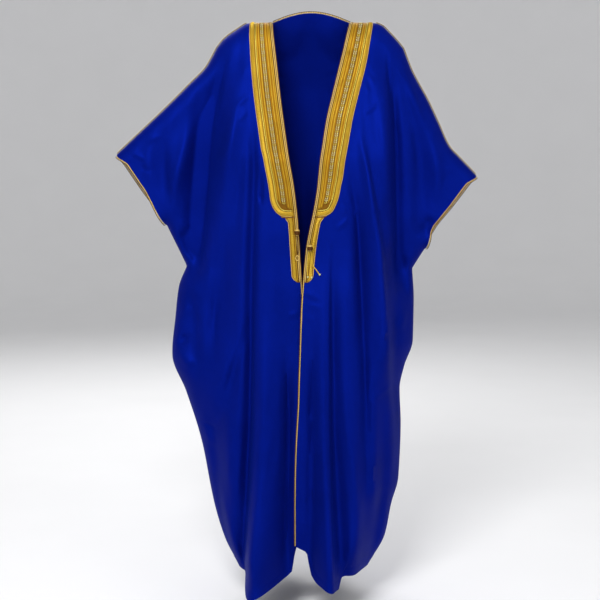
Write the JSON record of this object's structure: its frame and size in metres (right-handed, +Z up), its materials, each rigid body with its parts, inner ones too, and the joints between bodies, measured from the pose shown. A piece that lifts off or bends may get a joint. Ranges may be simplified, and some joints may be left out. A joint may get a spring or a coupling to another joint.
{
  "type": "open-front cloak robe",
  "caption": "Loose full-length cloak robe worn open at the neck: blue cloth, wide gold bands down the front edges and round the neck, corded seams and small hanging ties.",
  "frame": {"origin": "midway between the two points where the neckline crosses the shoulders, where the wearer's shoulders hold the robe up", "axes": "+Z up, -Y towards the front, -X towards the wearer's right hand"},
  "size_m": [0.897, 0.4239, 1.4297],
  "materials": {
    "blue_cloth": "royal blue plain weave with a soft sheen",
    "gold_band": "gold metal-thread embroidery",
    "gold_cord": "gold metal-thread cord",
    "brown_cord": "brown and gold twisted cord"
  },
  "bodies": {
    "root": {"back_panel": "blue_cloth", "front_right": "blue_cloth", "front_left": "blue_cloth", "lapel_band_right": "gold_band", "lapel_band_left": "gold_band", "lower_band_right": "gold_band", "lower_band_left": "gold_band", "neck_band": "gold_band", "shoulder_cord_right": "gold_cord", "shoulder_cord_left": "gold_cord", "cuff_cord_right_front": "gold_cord", "cuff_cord_right_back": "gold_cord", "cuff_cord_left_front": "gold_cord", "cuff_cord_left_back": "gold_cord", "tie_loop_right": "gold_cord", "tie_cord_left_1": "gold_cord", "tie_cord_left_2": "gold_cord", "tie_cord_left_3": "gold_cord", "edge_cord_right": "brown_cord", "edge_cord_left": "brown_cord", "neck_cord": "brown_cord", "tie_bead_right": "brown_cord", "tie_bead_left": "brown_cord", "tie_cord_right": "brown_cord"}
  },
  "joints": []
}
